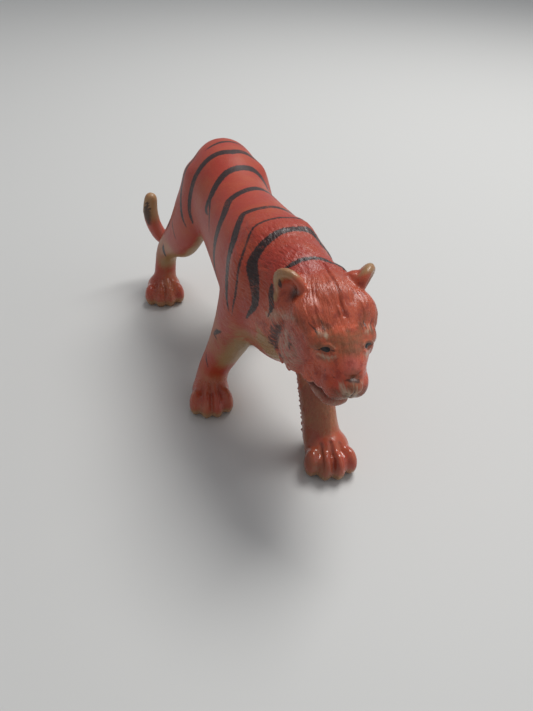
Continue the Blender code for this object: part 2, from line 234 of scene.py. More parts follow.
# Marks on the right of the head, repeated on the left, in the head's frame. They are laid on a
# ball round FACE_MIDDLE, and reach no more than FACE_DEPTH past their own half width.
FACE_MIDDLE = (0.0, -6.0, 0.0)
FACE_REACH = 12.0
FACE_DEPTH = 1.8
FACE_DARK = (
    ((-3.4, -13.2, 2.0, 0.05), (-3.0, -14.0, 1.8, 0.25)),
    ((-5.0, -12.4, 1.6, 0.02), (-4.8, -12.8, 1.4, 0.16)),
    ((-3.6, -11.6, 3.4, 0.02), (-3.4, -12.0, 3.4, 0.14)),
    ((-7.2, -3.4, 5.2, 0.1), (-6.6, -5.4, 5.7, 0.28), (-6.2, -6.6, 5.5, 0.05)),
    ((-5.1, -3.2, 6.4, 0.05), (-5.0, -5.2, 6.3, 0.25), (-5.0, -6.4, 6.2, 0.05)),
    ((-4.0, -4.0, 6.7, 0.05), (-4.2, -6.0, 6.6, 0.22), (-4.3, -7.4, 6.4, 0.05)),
    # Along the upper lid: a painted shadow under the lid
    (
        (-3.0, -10.8, 5.9, 0.05), (-3.9, -10.3, 5.6, 0.16),
        (-6.4, -9.0, 3.9, 0.16), (-7.0, -8.2, 3.0, 0.02),
    ),
)
CHEEK_DASHES = (
    (
        (-10.9, 1.0, -1.4, 0.2), (-11.8, 1.6, -4.2, 0.6), (-12.2, 1.4, -7.4, 0.8),
        (-12.0, 0.8, -10.0, 0.8), (-11.6, 0.0, -12.6, 0.6),
    ),
    ((-10.9, -5.4, -9.0, 0.2), (-11.0, -3.4, -11.8, 0.5), (-10.4, -1.6, -13.8, 0.3)),
    ((-10.3, -4.8, -4.4, 0.3), (-10.4, -2.8, -2.0, 0.4)),
)
NOSE_DARK = (
    (
        (0.1, -16.6, 5.4, 0.02), (0.1, -18.4, 3.9, 0.09),
        (0.0, -19.4, 1.4, 0.12), (0.0, -19.6, -2.2, 0.1),
    ),
    ((-1.7, -17.0, 3.3, 0.02), (-1.0, -17.6, 3.8, 0.1), (0.0, -17.9, 4.0, 0.06)),
    ((-1.4, -18.6, 0.6, 0.02), (-0.8, -19.0, 0.4, 0.07), (0.0, -19.5, 0.5, 0.06)),
)
FACE_CREAM = (
    ((-6.6, -5.2, 5.8, 0.5), (-5.0, -6.8, 6.2, 0.8)),
    ((-6.4, -9.8, 3.2, 0.3), (-4.9, -11.2, 3.9, 0.5), (-3.4, -11.6, 5.2, 0.2)),
    ((-2.6, -17.6, 2.2, 0.3), (-1.0, -18.6, 1.4, 1.1), (0.0, -19.0, 1.6, 1.0)),
    ((-1.6, -19.0, -1.8, 0.5), (-0.7, -19.5, -0.2, 0.7), (0.0, -18.6, 3.2, 0.3)),
    ((-5.6, -16.6, -3.4, 0.1), (-3.4, -18.6, -2.8, 0.5), (-0.6, -19.4, -2.4, 0.5)),
    ((-6.4, -11.4, -8.8, 0.4), (-5.6, -14.4, -5.6, 0.3), (-5.2, -16.6, -4.2, 0.2)),
    (
        (-6.4, -10.4, -10.6, 0.3), (-4.2, -15.0, -9.6, 0.4),
        (-1.4, -17.5, -8.4, 0.4), (0.0, -17.8, -8.0, 0.4),
    ),
    (
        (-10.4, -0.8, 3.6, 0.0), (-10.7, 1.3, 0.6, 0.2),
        (-11.6, 3.2, -2.2, 0.4), (-12.9, 4.6, -5.3, 0.6),
    ),
)
FACE_OLIVE = (
    ((0.0, -7.0, 7.0, 1.2), (0.0, -10.4, 6.4, 2.0), (-2.6, -10.6, 5.8, 1.4)),
    ((-6.4, -6.6, 5.4, 0.8), (-3.4, -7.4, 6.6, 1.5), (0.0, -8.4, 7.0, 1.6)),
    ((-8.2, -7.4, 2.6, 0.2), (-5.6, -8.8, 4.6, 1.9), (-3.0, -9.6, 6.0, 1.2)),
    ((-5.4, -3.2, 6.4, 0.6), (-3.6, -6.2, 6.6, 1.2)),
    ((-4.8, -8.0, 6.0, 0.7), (-2.4, -9.0, 6.7, 1.5), (0.0, -9.4, 6.9, 1.7)),
    ((-7.4, -6.4, 4.2, 0.0), (-8.8, -2.4, 4.2, 0.1), (-9.6, 0.4, 2.4, 0.0)),
    ((-7.2, -8.6, 2.6, 0.3), (-5.4, -10.8, 3.2, 0.6), (-3.6, -11.4, 4.6, 0.3)),
    ((-3.2, -17.6, -1.0, 1.2), (0.0, -19.4, 1.0, 2.6), (0.0, -17.6, 3.8, 1.8)),
)

# Height of the upper lip's edge along the head
LIP_BACK = (-19.5, -17.5, -15.0, -12.5, -10.0, -7.0)
LIP_HEIGHT = (-3.0, -4.4, -5.2, -7.0, -9.4, -10.4)

# The pale edge of each ear, and the dark fleck inside it
EAR_RIM = (
    (
        (-12.4, 7.6, -1.0, 1.0), (-12.8, 9.9, 2.4, 1.5), (-11.6, 10.2, 6.2, 2.2),
        (-8.6, 9.2, 7.6, 1.8), (-6.2, 7.8, 6.2, 0.6),
    ),
)
EAR_FLECK = (
    ((-11.9, 9.4, 4.4, 0.1), (-11.5, 9.0, 2.6, 0.45), (-11.1, 8.6, 1.4, 0.2)),
)

# The right eye in the head's frame: its middle, the directions along its slit, across it and
# out of it, and the half length and half height of its dark spot
EYE = (-5.15, -9.5, 4.75)
EYE_AXES = ((0.77, -0.41, 0.49), (0.1, -0.66, -0.74), (-0.63, -0.62, 0.46))
EYE_SPOT = (1.15, 0.68)

# The mould's seam on the left foreleg: which way it faces, its teeth from where to where and
# how far apart, and how far they stand out
SEAM_FACING = (-0.937, 0.35)
SEAM_HEIGHTS = (7.0, 36.0, 1.15)
SEAM_TOOTH = 0.48

# Carved fur: how close the hairs lie on body, legs and face, and how deep they are
BODY_HAIRS = 26.0
LEG_HAIRS = 1.8
FACE_HAIRS = 16.0
FUR_DEPTH = 0.12


def catmull_rom(before, start, end, after, t):
    """A point on the smooth curve from start to end."""
    return 0.5 * (
        2 * start
        + (end - before) * t
        + (2 * before - 5 * start + 4 * end - after) * t**2
        + (3 * start - before - 3 * end + after) * t**3
    )


def smooth_rows(sections, steps=STEPS_PER_SPAN):
    """The rows with more of them between, on a curve through all."""
    rows = np.array(sections, float)
    padded = np.vstack([2 * rows[0] - rows[1], rows, 2 * rows[-1] - rows[-2]])
    made = [
        catmull_rom(*padded[i : i + 4], step / steps)
        for i in range(len(rows) - 1)
        for step in range(steps)
    ]
    return np.array([*made, rows[-1]])


def ring(bm, place, centre, tangent, half_width, half_depth):
    """A loop of points square to the tangent."""
    forward = Vector(tangent).normalized()
    across = (Vector((1, 0, 0)) - forward * forward.x).normalized()
    up = forward.cross(across)
    points = []
    for i in range(RING_POINTS):
        turn = 2 * math.pi * i / RING_POINTS
        offset = across * (half_width * math.cos(turn)) + up * (half_depth * math.sin(turn))
        points.append(bm.verts.new(place @ (Vector(centre) + offset)))
    return points


def loft(bm, sections, place=Matrix()):
    """A closed solid through the sections, round at both ends."""
    rows = smooth_rows(sections)
    tangents = np.gradient(rows[:, :3], axis=0)
    tangents /= np.linalg.norm(tangents, axis=1)[:, None]
    chain = []
    tips = []
    for end, sign in ((0, -1), (-1, 1)):
        reach = min(rows[end, 3:])
        caps = []
        for degrees in (70, 45, 20):
            turn = math.radians(degrees)
            centre = rows[end, :3] + tangents[end] * sign * reach * math.sin(turn)
            caps.append(ring(bm, place, centre, tangents[end], *rows[end, 3:] * math.cos(turn)))
        tips.append(bm.verts.new(place @ Vector(rows[end, :3] + tangents[end] * sign * reach)))
        chain.append(caps)
    middle = [ring(bm, place, row[:3], t, row[3], row[4]) for row, t in zip(rows, tangents)]
    loops = chain[0] + middle + chain[1][::-1]
    for a, b in zip(loops, loops[1:]):
        for i in range(RING_POINTS):
            j = (i + 1) % RING_POINTS
            bm.faces.new((a[i], a[j], b[j], b[i]))
    for i in range(RING_POINTS):
        j = (i + 1) % RING_POINTS
        bm.faces.new((tips[0], loops[0][j], loops[0][i]))
        bm.faces.new((tips[1], loops[-1][i], loops[-1][j]))


def mass(bm, centre, radii, turn=(0, 0, 0), place=Matrix()):
    """A rounded lump of clay."""
    put = (
        place
        @ Matrix.Translation(Vector(centre))
        @ Euler([math.radians(a) for a in turn]).to_matrix().to_4x4()
        @ Matrix.Diagonal((*radii, 1))
    )
    bmesh.ops.create_icosphere(bm, subdivisions=4, radius=1, matrix=put)


def head_place():
    turn = (
        Matrix.Rotation(math.radians(HEAD_YAW), 4, "Z")
        @ Matrix.Rotation(math.radians(HEAD_ROLL), 4, "Y")
        @ Matrix.Rotation(math.radians(HEAD_PITCH), 4, "X")
    )
    return Matrix.Translation(Vector(HEAD_CENTRE)) @ turn


def paw_place(sole, heading):
    return Matrix.Translation(Vector(sole)) @ Matrix.Rotation(math.radians(heading), 4, "Z")


HEAD = head_place()
HEAD_MIDDLE = np.array(HEAD @ Vector((0, -4.0, -1.0)))


def enlarge_head(points):
    """Draw the head out from its middle, and slide the rest away to make room."""
    away = points - HEAD_MIDDLE
    far = np.linalg.norm(away, axis=1)[:, None] + 1e-9
    grown = np.where(far < HEAD_REACH, far * HEAD_GAIN, far + HEAD_REACH * (HEAD_GAIN - 1))
    return HEAD_MIDDLE + away / far * grown


def restore_head(points):
    away = points - HEAD_MIDDLE
    far = np.linalg.norm(away, axis=1)[:, None] + 1e-9
    inside = far < HEAD_REACH * HEAD_GAIN
    shrunk = np.where(inside, far / HEAD_GAIN, far - HEAD_REACH * (HEAD_GAIN - 1))
    return HEAD_MIDDLE + away / far * shrunk


def points_of(mesh):
    flat = np.empty(len(mesh.vertices) * 3)
    mesh.vertices.foreach_get("co", flat)
    return flat.reshape(-1, 3)


def put_points(mesh, points):
    mesh.vertices.foreach_set("co", points.astype(np.float32).ravel())
    mesh.update()


def normals_of(mesh):
    flat = np.empty(len(mesh.vertices) * 3)
    mesh.vertex_normals.foreach_get("vector", flat)
    return flat.reshape(-1, 3)


def blurred_step(value, low, high):
    """0 below low, 1 above high, and a smooth rise between."""
    t = np.clip((value - low) / (high - low), 0, 1)
    return t * t * (3 - 2 * t)


def into(points, place):
    """The points as seen from a frame."""
    back = np.linalg.inv(np.array(place))
    return points @ back[:3, :3].T + back[:3, 3]


def folded(points):
    """The points with those on the left laid over the right."""
    return np.column_stack([-np.abs(points[:, 0]), points[:, 1], points[:, 2]])


def trunk_angle(points):
    """Degrees round the trunk from the spine, above 0 on the tiger's left."""
    spine = np.array(TRUNK)[::-1]
    middle_x = np.interp(points[:, 1], spine[:, 1], spine[:, 0])
    middle_z = np.interp(points[:, 1], spine[:, 1], spine[:, 2])
    return np.degrees(np.arctan2(points[:, 0] - middle_x, points[:, 2] - middle_z))


def fused(bm, voxel):
    """One closed skin round everything in bm."""
    bmesh.ops.recalc_face_normals(bm, faces=bm.faces)
    mesh = bpy.data.meshes.new("clay")
    bm.to_mesh(mesh)
    bm.free()
    clay = bpy.data.objects.new("clay", mesh)
    bpy.context.scene.collection.objects.link(clay)
    bpy.ops.object.select_all(action="DESELECT")
    bpy.context.view_layer.objects.active = clay
    clay.select_set(True)
    remesh = clay.modifiers.new("skin", "REMESH")
    remesh.mode = "VOXEL"
    remesh.voxel_size = voxel
    bpy.ops.object.modifier_apply(modifier="skin")
    made = clay.data
    bpy.data.objects.remove(clay)
    return made


def soften(mesh, times, weight=None):
    """Smooth the skin, each point towards the middle of its neighbours."""
    points = points_of(mesh)
    ends = np.empty(len(mesh.edges) * 2, np.int64)
    mesh.edges.foreach_get("vertices", ends)
    a, b = ends.reshape(-1, 2).T
    count = np.bincount(ends, minlength=len(points))[:, None]
    share = 0.5 if weight is None else 0.5 * weight[:, None]
    for _ in range(times):
        total = np.zeros_like(points)
        for axis in range(3):
            total[:, axis] = np.bincount(a, points[b, axis], len(points)) + np.bincount(
                b, points[a, axis], len(points)
            )
        points += share * (total / count - points)
    put_points(mesh, points)


class Sculptor:
    """Tools that move the points of a mesh, all placed in one frame."""

    def __init__(self, mesh, place):
        self.mesh = mesh
        self.world = np.array(place)
        back = np.linalg.inv(self.world)
        self.points = points_of(mesh) @ back[:3, :3].T + back[:3, 3]
        self.normals = normals_of(mesh) @ back[:3, :3].T

    def push(self, centre, radii, move, facing=False):
        """Move what is inside an ellipsoid, most at its middle."""
        reach = (((self.points - centre) / radii) ** 2).sum(axis=1)
        weight = np.clip(1 - reach, 0, 1) ** 2
        if facing:
            toward = -np.array(move) / np.linalg.norm(move)
            weight = weight * np.clip(self.normals @ toward * 2, 0, 1)
        self.points += weight[:, None] * np.array(move)

    def groove(self, path, width, depth, seen_from):
        """Press a soft line into the skin facing one way; a negative depth raises a welt."""
        view = np.array(seen_from) / np.linalg.norm(seen_from)
        flat = self.points - np.outer(self.points @ view, view)
        path = np.array(path, float)
        path = path - np.outer(path @ view, view)
        nearest = np.full(len(flat), 1000.0)
        for a, b in zip(path, path[1:]):
            along = np.clip(((flat - a) @ (b - a)) / ((b - a) @ (b - a)), 0, 1)
            gap = np.linalg.norm(flat - a - along[:, None] * (b - a), axis=1)
            nearest = np.minimum(nearest, gap)
        weight = np.exp(-((nearest / width) ** 2)) * np.clip(self.normals @ view * 2, 0, 1)
        self.points -= self.normals * (depth * weight)[:, None]

    def finish(self):
        put_points(self.mesh, self.points @ self.world[:3, :3].T + self.world[:3, 3])


def paw(bm, sole, heading, half_width):
    """The foot: a rounded block and four toes, sunk a little into the ground."""
    place = paw_place(sole, heading)
    low = -SOLE_SINK
    pad = (half_width * 0.93, PAW_HALF_LENGTH * 0.88, 6.0)
    mass(bm, (0, 1.4, 4.6 + low), pad, place=place)
    for across in (-1.5, -0.5, 0.5, 1.5):
        inner = 1.5 - abs(across)
        x = across * half_width * TOE_SPACING
        y = -PAW_HALF_LENGTH * (0.44 + 0.22 * inner)
        toe = (half_width * 0.33, 4.0, 4.6 + 0.4 * inner)
        mass(bm, (x, y, 4.2 + low), toe, (0, 0, across * 8), place)


def head(bm):
    loft(bm, SKULL, HEAD)
    loft(bm, JAW, HEAD)

    def pair(centre, radii, turn=(0, 0, 0)):
        for side in (-1, 1):
            x, y, z = centre
            rx, ry, rz = turn
            mass(bm, (side * x, y, z), radii, (rx, side * ry, side * rz), HEAD)

    # Muzzle pads, nose, lips, palate, temples, brows, eyeballs, cheekbones, ruff and ears
    pair((2.3, -15.0, -1.1), (3.4, 4.6, 3.5))
    mass(bm, (0.3, -17.6, 2.0), (2.5, 2.3, 1.9), place=HEAD)
    pair((4.2, -10.8, -3.6), (2.5, 5.2, 3.4), (-18, 0, 6))
    pair((5.4, -8.8, -6.6), (2.2, 4.2, 3.8), (-30, 0, 10))
    mass(bm, (0, -6.0, -6.2), (3.6, 7.0, 3.2), place=HEAD)
    pair((5.0, 0.2, 2.2), (5.7, 6.8, 4.9))
    pair((4.8, -5.2, 3.5), (4.2, 4.3, 2.7), (-15, 20, 0))
    pair((4.9, -8.3, 2.5), (2.2, 2.1, 2.0))
    pair((6.0, -5.0, -1.4), (3.4, 4.8, 4.4), (0, 0, 12))
    pair((8.2, -1.0, -7.0), (3.2, 8.2, 6.0), (4, -6, 0))
    pair((9.8, 3.4, -6.6), (2.8, 3.2, 6.6), (0, -8, -20))
    pair((9.3, 8.2, 3.0), (4.9, 2.1, 4.8), (-3, 32, 50))
    pair((7.6, 8.4, 2.4), (3.6, 2.8, 3.2))
    for back, low, out in RUFF_TUFTS:
        pair((out, back, low), (1.0, 2.8, 0.9), (14, 0, 6))


def tiger_mesh():
    body = bmesh.new()
    for sections in (TRUNK, LEFT_FORELEG, RIGHT_FORELEG, LEFT_HINDLEG, RIGHT_HINDLEG):
        loft(body, sections)
    mass(body, (6.0, -19.5, 56.2), (5.2, 10.0, 9.5), (20, -8, 0))
    mass(body, (-6.0, -17.5, 56.0), (5.2, 10.0, 9.5), (20, 8, 0))
    smooth_body = fused(body, BODY_VOXEL)
    soften(smooth_body, BODY_SMOOTHING)

    whole = bmesh.new()
    whole.from_mesh(smooth_body)
    loft(whole, TAIL)
    for sole, heading, half_width in PAWS:
        paw(whole, sole, heading, half_width)
    head(whole)
    drawn = enlarge_head(np.array([vert.co for vert in whole.verts]))
    for vert, place in zip(whole.verts, drawn):
        vert.co = place
    skin = fused(whole, SKIN_VOXEL)
    put_points(skin, restore_head(points_of(skin)))
    soften(skin, SKIN_SMOOTHING)
    return skin


def thinned(mesh):
    """The skin in fewer triangles, thinned where it curves least."""
    skin = bpy.data.objects.new("skin", mesh)
    bpy.context.scene.collection.objects.link(skin)
    bpy.ops.object.select_all(action="DESELECT")
    bpy.context.view_layer.objects.active = skin
    skin.select_set(True)
    mesh.calc_loop_triangles()
    lighter = skin.modifiers.new("lighter", "DECIMATE")
    lighter.ratio = TRIANGLES / len(mesh.loop_triangles)
    bpy.ops.object.modifier_apply(modifier="lighter")
    bpy.data.objects.remove(skin)
    return mesh


def carve_head(mesh):
    tool = Sculptor(mesh, HEAD)
    for side in (-1, 1):

        def at(*place):
            return np.array((side * place[0], *place[1:]))

        # Hollow of the ear
        tool.push(at(10.6, 6.8, 3.6), (3.8, 3.8, 4.2), at(-1.5, 1.5, -0.3), True)
        # Eye: a shallow socket, the ball in it, and a welt for each lid
        facing = at(0.45, -0.62, 0.64)
        tool.push(at(5.1, -10.0, 4.4), (2.6, 2.0, 1.9), facing * -0.55)
        tool.push(at(5.1, -9.5, 4.7), (1.5, 1.2, 1.1), facing * 0.5)
        upper = (at(6.4, -8.6, 3.9), at(5.6, -8.4, 5.1), at(4.5, -9.0, 5.8), at(3.4, -10.2, 5.9))
        lower = (at(6.5, -9.1, 3.5), at(5.6, -10.3, 3.6), at(4.5, -10.9, 4.4), at(3.4, -10.8, 5.3))
        tool.groove(upper, 0.34, -0.3, facing)
        tool.groove(lower, 0.4, -0.28, facing)
        # Nostril, and the edge of the nose
        tool.push(at(1.3, -19.9, 1.4), (0.8, 1.2, 0.7), (0, 0.9, 0))
        pad = (at(0.4, -16.6, 4.2), at(2.0, -17.0, 3.4), at(2.6, -17.8, 1.6), at(1.6, -19.0, 0.4))
        tool.groove(pad, 0.35, 0.22, at(0.3, -0.8, 0.6))
    # Parting with a welt on either side, the groove down the lip, and the fold under the nose
    tool.groove(((0, 13.0, 0), (0, -3.0, 0)), 0.32, 0.45, (0, 0, 1))
    tool.groove(((-0.9, 13.0, 0), (-0.8, -2.0, 0)), 0.5, -0.22, (0, 0, 1))
    tool.groove(((0.9, 13.0, 0), (0.8, -2.0, 0)), 0.5, -0.22, (0, 0, 1))
    tool.groove(((0, 0, -6.0), (0, 0, 2.2)), 0.3, 0.35, (0, -1, 0))
    tool.groove(((-1.9, 0, 1.0), (0, 0, 0.6), (1.9, 0, 1.0)), 0.28, 0.3, (0, -1, 0.2))
    tool.finish()


def fur_paths(mesh):
    """Where each point lies among the hairs of the body and of the face: the first two numbers
    change from hair to hair, the last slowly along them. With them, how far the point belongs
    to the face, and how deep the carved fur is there."""
    points = points_of(mesh)
    x, y, z = points.T
    round_trunk = np.radians(trunk_angle(points))
    body = np.column_stack([np.sin(round_trunk), np.cos(round_trunk), y / 60]) * BODY_HAIRS
    leg = np.column_stack([x, y, z / 6]) * LEG_HAIRS
    on_leg = blurred_step(-z, -34, -26)[:, None]
    local = into(points, HEAD)
    from_axis = np.hypot(local[:, 0], local[:, 2] + 2) + 0.5
    face = np.column_stack(
        [
            local[:, 0] / from_axis * FACE_HAIRS,
            (local[:, 2] + 2) / from_axis * FACE_HAIRS,
            local[:, 1] / 5,
        ]
    )
    on_head = blurred_step(-local[:, 1], -12, -6)
    on_head = on_head * blurred_step(-np.linalg.norm(local, axis=1), -27, -23)
    depth = 0.22 + 0.7 * blurred_step(-y, 4, 30)
    depth = depth * (1 - blurred_step(-z, -16, -10))
    muzzle = np.linalg.norm((local - (0, -17, -2)) / (7, 6, 8), axis=1)
    eyes = np.linalg.norm((folded(local) - (-5.0, -9.8, 4.6)) / (2.6, 2.2, 2.2), axis=1)
    in_ear = np.linalg.norm((folded(local) - (-10.0, 7.0, 3.4)) / (4.6, 4.0, 5.4), axis=1)
    face_depth = 0.95 * (0.2 + 0.8 * blurred_step(muzzle, 0.8, 1.5)) * blurred_step(eyes, 0.7, 2.4)
    face_depth = face_depth * (0.15 + 0.85 * blurred_step(in_ear, 0.8, 1.1))
    depth = depth + (face_depth - depth) * on_head
    return body + (leg - body) * on_leg, face, on_head, depth


def carve_fur(mesh):
    body, face, on_head, depth = fur_paths(mesh)
    heights = np.zeros(len(depth))
    for paths, share in ((body, 1 - on_head), (face, on_head)):
        for i in np.flatnonzero(share > 0):
            strand = noise.noise(Vector(paths[i]))
            heights[i] += share[i] * (1 - 3.2 * abs(strand))
    lift = FUR_DEPTH * depth * heights
    put_points(mesh, points_of(mesh) + normals_of(mesh) * lift[:, None])


def carve_paws(mesh):
    for sole, heading, half_width in PAWS:
        tool = Sculptor(mesh, paw_place(sole, heading))
        near = np.linalg.norm(tool.points, axis=1) < 2 * PAW_HALF_LENGTH
        tool.normals[~near] = 0
        for across in (-1, 0, 1):
            x = across * half_width * TOE_SPACING
            path = ((x * 0.8, -0.2 * PAW_HALF_LENGTH, 0), (x, -1.4 * PAW_HALF_LENGTH, 0))
            tool.groove(path, 0.5, 0.6, (0, 0, 1))
        tool.finish()


def raise_seam(mesh):
    """The saw-toothed flash of the mould's seam down the inner side of the left foreleg."""
    points = points_of(mesh)
    tool = Sculptor(mesh, Matrix())
    axis = np.array(LEFT_FORELEG)[:, :3]
    outward_way = np.array(SEAM_FACING)
    for height in np.arange(*SEAM_HEIGHTS):
        middle = [np.interp(height, axis[::-1, 2], axis[::-1, i]) for i in (0, 1)]
        away = points[:, :2] - middle
        level = (np.abs(points[:, 2] - height) < 0.7) & (np.linalg.norm(away, axis=1) < 9)
        if level.any():
            reach = np.where(level, away @ outward_way, -99)
            tip = points[reach.argmax()]
            move = (*(outward_way * SEAM_TOOTH), 0.1)
            tool.push((tip[0], tip[1], height), (0.7, 0.7, 0.55), move)
    tool.finish()


def inside_strokes(places, strokes, scale):
    """How far each place lies inside the nearest brush stroke: above 0 in the paint."""
    inside = np.full(len(places), -5.0)
    for stroke in strokes:
        rows = smooth_rows(stroke, 4)
        path = rows[:, :-1] * scale
        half_widths = rows[:, -1]
        for a, b, wa, wb in zip(path, path[1:], half_widths, half_widths[1:]):
            t = np.clip(((places - a) @ (b - a)) / ((b - a) @ (b - a)), 0, 1)
            gap = np.linalg.norm(places - a - t[:, None] * (b - a), axis=1)
            inside = np.maximum(inside, wa + (wb - wa) * t - gap)
    return inside


def mark(mesh, name, values):
    kind = "FLOAT" if np.ndim(values) == 1 else "FLOAT_VECTOR"
    layer = mesh.attributes.new(name, kind, "POINT")
    flat = np.asarray(values, np.float32).ravel()
    layer.data.foreach_set("value" if kind == "FLOAT" else "vector", flat)


def outward(places):
    """Places on the head moved along their own direction onto one ball round its middle."""
    away = places - FACE_MIDDLE
    return away / np.linalg.norm(away, axis=1, keepdims=True) * FACE_REACH


def on_face(local, strokes):
    """How far each point of the head lies inside the strokes, with both sides alike."""
    half = folded(local)
    balled = []
    wide = []
    for stroke in strokes:
        rows = np.array(stroke)
        balled.append(np.column_stack([outward(rows[:, :3]), rows[:, 3]]))
        wide.append(rows + (0, 0, 0, FACE_DEPTH))
    inside = inside_strokes(outward(half), balled, 1)
    return np.where(inside_strokes(half, wide, 1) > 0, inside, -5.0)


def stripes_of(points):
    """How far each point lies inside the black paint, which also holds a painted shadow along each
    upper lid.
    """
    places = np.column_stack([trunk_angle(points) * MM_PER_DEGREE, points[:, 1]])
    stripes = inside_strokes(places, (*RIGHT_STRIPES, *LEFT_STRIPES), (MM_PER_DEGREE, 1))
    local = into(points, HEAD)
    on_trunk = (local[:, 1] > 5) & (points[:, 2] > 36)
    on_ear = (local[:, 1] < 13) & (np.abs(local[:, 0]) > 7) & (local[:, 2] > -0.5)
    stripes = np.where(on_trunk & ~on_ear, stripes, -5.0)
    legs = inside_strokes(points, LEG_MARKS, 1)
    fleck = inside_strokes(local, EAR_FLECK, 1)
    return np.maximum.reduce([stripes, legs, fleck, on_face(local, FACE_DARK)])


def toe_creases(points):
    """1 along the grooves between the toes, fading to 0 beside them."""
    creases = np.zeros(len(points))
    for sole, heading, half_width in PAWS:
        local = into(points, paw_place(sole, heading))
        front = blurred_step(-local[:, 1], 0.3 * PAW_HALF_LENGTH, 0.6 * PAW_HALF_LENGTH)
        front = front * (np.linalg.norm(local, axis=1) < 1.8 * PAW_HALF_LENGTH)
        for across in (-1, 0, 1):
            away = (local[:, 0] - across * half_width * TOE_SPACING) / 0.4
            creases = np.maximum(creases, front * np.exp(-(away**2)))
    return creases


def on_tail(points):
    _, y, z = points.T
    return (y > 64.8) | ((y > 59) & (z > 31))


def bare_plastic(points, normals, local):
    """Where the plastic shows through: under the belly, down the insides of the legs, on the
    throat, the tail's end and the ears' edges, and thinly on the feet, which are orange above."""
    x, y, z = points.T
    angle = np.abs(trunk_angle(points))
    outside = blurred_step(np.sign(x) * normals[:, 0], 0.3, 0.95)
    behind_head = (local[:, 1] > 3) & (y > -44)
    middle = blurred_step(-y, -26, -16)
    belly = blurred_step(angle, 98, 132) * blurred_step(-z, -46, -36) * middle
    below = blurred_step(-normals[:, 2], 0.1, 0.7) * blurred_step(-z, -48, -40)
    flank = outside * blurred_step(-z, -42, -34)
    belly = np.maximum(belly, below) * behind_head * (1 - 0.8 * flank)
    fore = blurred_step(-y, -14, -6)
    thigh = blurred_step(-z, -37, -24) * (1 - 0.45 * outside) * (1 - fore)
    upper_arm = blurred_step(-z, -43, -33) * (1 - 0.6 * outside) * fore
    legs = np.maximum(thigh, upper_arm) * behind_head
    shins = blurred_step(z, 9 + 3 * fore, 17 + 6 * fore)
    left_fore = blurred_step(-y, 26, 32) * blurred_step(-z, -32, -26) * (x > 0)
    bare = np.maximum(belly, legs) * shins * (1 - 0.4 * left_fore)
    bare = np.maximum(bare, 0.45 * left_fore * blurred_step(z, 5, 12))
    tail_end = (x < -18) * blurred_step(z, 24, 33)
    bare = np.where(on_tail(points), 0.85 * tail_end, bare)
    throat = blurred_step(-local[:, 2], 10, 15) * (local[:, 1] > -3) * (y < -34) * (z > 34)
    feet = 0.36 * blurred_step(-z, -16, -10)
    soles = 0.75 * blurred_step(-z, -6.5, -1.5)
    ear_rim = inside_strokes(folded(local), EAR_RIM, 1)
    ear_rim = 0.75 * blurred_step(ear_rim, -1.2, 1.0)
    return np.maximum.reduce([bare, 0.8 * throat, feet, soles, ear_rim])


def pinkish(points, local):
    """The cheeks, the bridge of the nose, the low part of the tail and the feet; on the tail and
    feet the lighter pink is partly painted highlight.
    """
    half = folded(local)
    z = points[:, 2]
    cheek = 1 - np.linalg.norm((half - (-9.4, -5.0, -3.0)) / (5.0, 7.5, 7.5), axis=1)
    bridge = 1 - np.linalg.norm((half - (0.0, -14.0, 5.0)) / (3.0, 4.6, 2.6), axis=1)
    pink = np.clip(np.maximum(cheek * 1.8, bridge * 1.2), 0, 1)
    # Pink on the low part of the tail and on the feet, partly painted highlight
    low_tail_pink_and_highlight = on_tail(points) * blurred_step(-z, -31, -25)
    feet = 0.32 * blurred_step(-z, -13, -9) * (z > 3.5)
    return np.maximum.reduce([pink, low_tail_pink_and_highlight, feet])


def painted_shade_in_hollows(points, local, muzzle):
    """Painted shade in brown: inside the open mouth and on the jaw, over the lips and low muzzle,
    in the ears' hollows, along the parting and in the creases of the toes.
    """
    lip = np.interp(local[:, 1], LIP_BACK, LIP_HEIGHT)
    under_lip = (lip - local[:, 2]) * (local[:, 1] < -5) * (np.abs(local[:, 0]) < 7.6)
    mouth = blurred_step(under_lip, -0.2, 0.4) * (0.92 - 0.42 * blurred_step(under_lip, 1.8, 4.0))
    lips = 0.34 * (1 - blurred_step(muzzle, 0.75, 1.2)) * blurred_step(-local[:, 2], -2.5, 1.0)
    ear = 1 - np.linalg.norm((folded(local) - (-8.7, 5.8, 3.4)) / (3.2, 2.6, 3.4), axis=1)
    parting = np.exp(-((local[:, 0] / 0.45) ** 2)) * (local[:, 2] > 4)
    parting = parting * blurred_step(local[:, 1], -5, -1) * blurred_step(-local[:, 1], -14, -11)
    creases = 0.4 * toe_creases(points)
    hollow_shade = np.maximum.reduce([mouth, ear * 1.5, parting * 0.5, creases, lips])
    return np.clip(hollow_shade, 0, 1)


